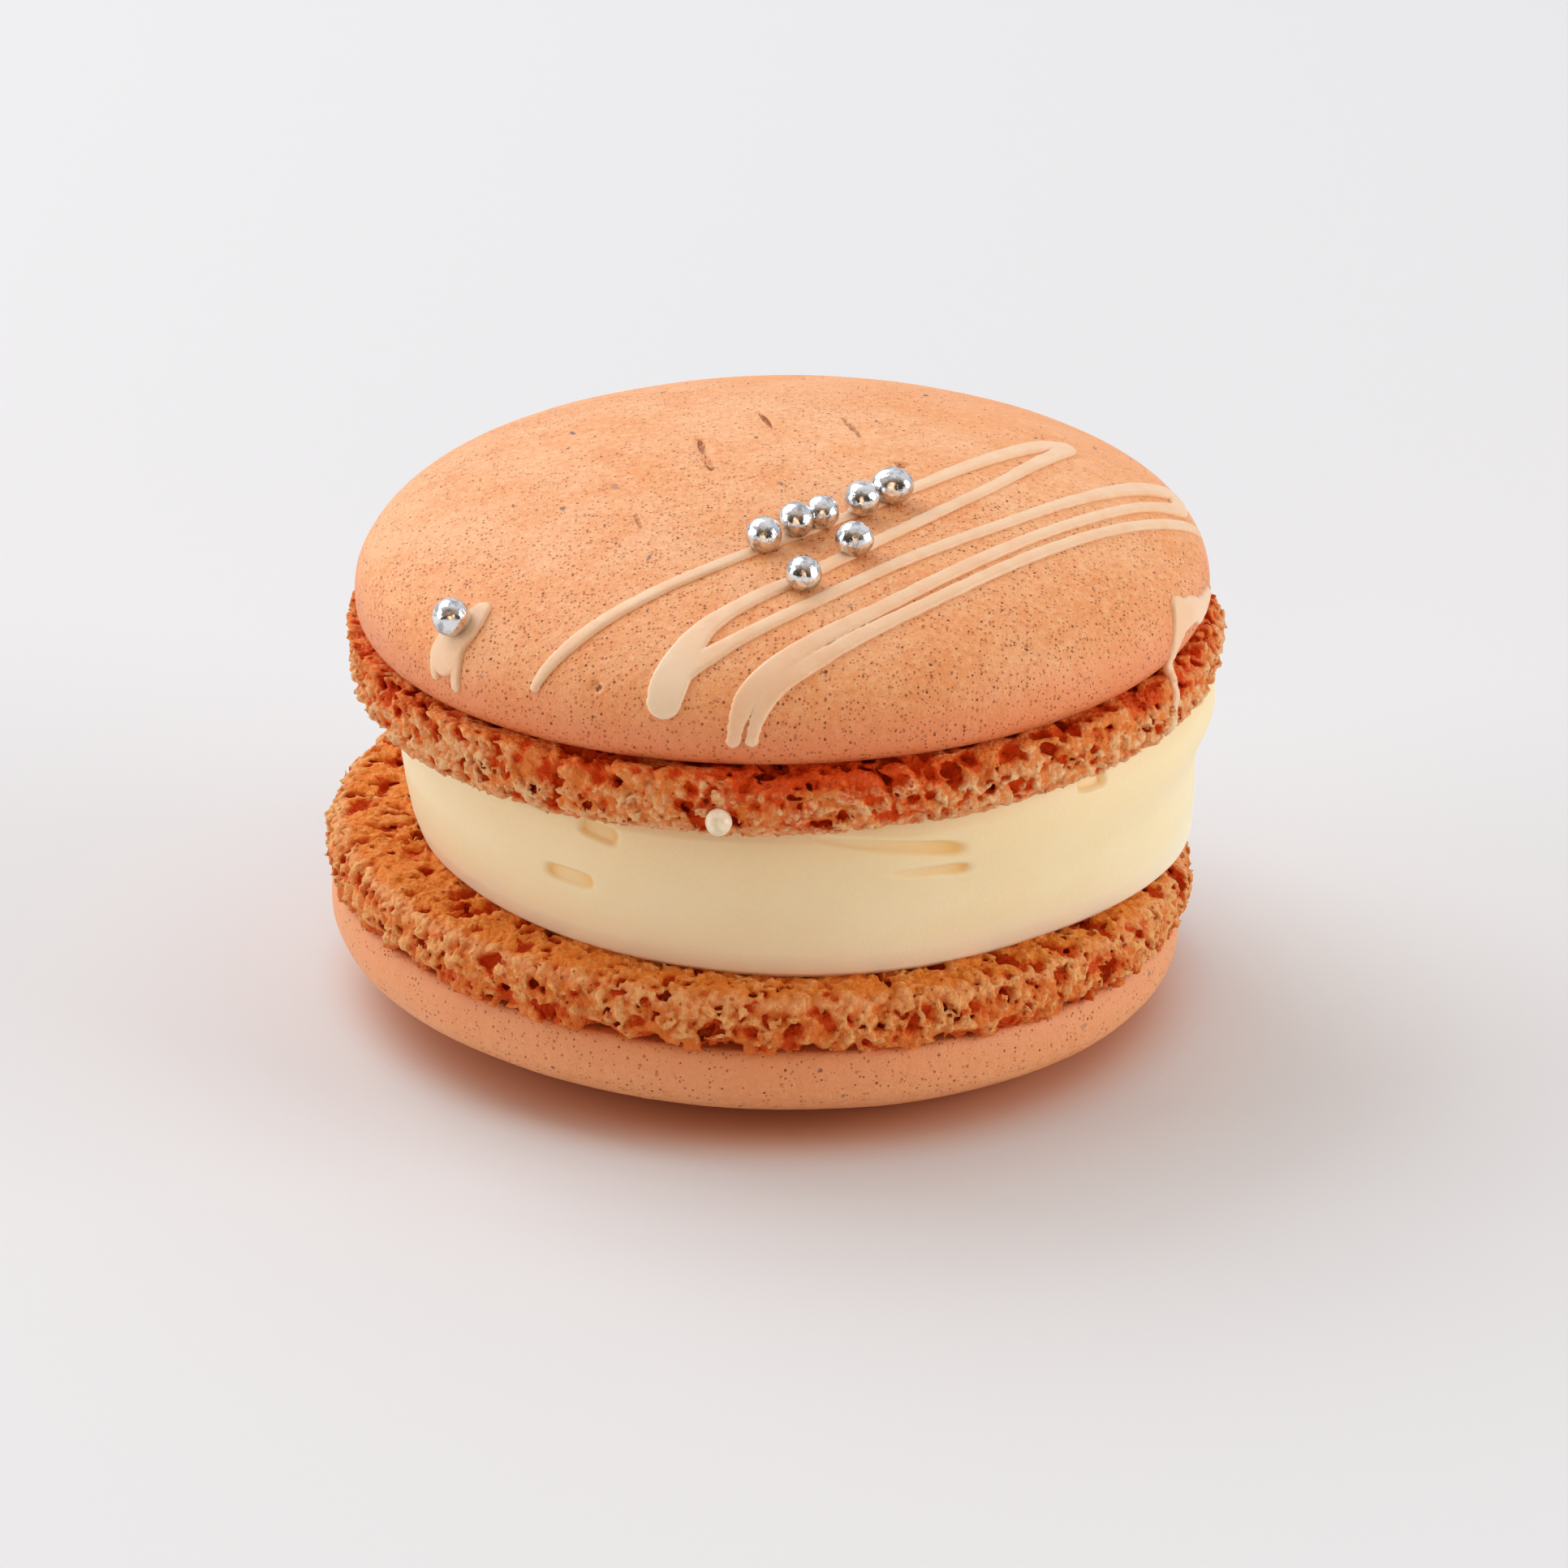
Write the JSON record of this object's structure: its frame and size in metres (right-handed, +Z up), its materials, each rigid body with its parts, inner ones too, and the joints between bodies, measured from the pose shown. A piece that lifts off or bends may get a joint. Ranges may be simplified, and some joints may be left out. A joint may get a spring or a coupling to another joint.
{
  "type": "macaron",
  "caption": "Round sandwich biscuit: domed almond shells with craggy feet around a thick cream filling, with white drizzle and silver dragees on top.",
  "frame": {"origin": "middle of the bounding box's underside, on the surface that the macaron stands on", "axes": "+Z up through the stack of shells, -Y towards the side that the picture shows, +X to the right in the picture"},
  "size_m": [0.0608, 0.06, 0.0401],
  "materials": {
    "almond_shell": "smooth matt baked cap with fine pores, and a rough spongy foot",
    "cream": "smooth satin buttercream with fine spatula streaks",
    "white_chocolate": "satin set chocolate",
    "silver_dragee": "slightly uneven polished silver",
    "sugar_pearl": "satin sugar"
  },
  "bodies": {
    "root": {"shell_top": "almond_shell", "filling": "cream", "shell_bottom": "almond_shell"}
  },
  "joints": []
}
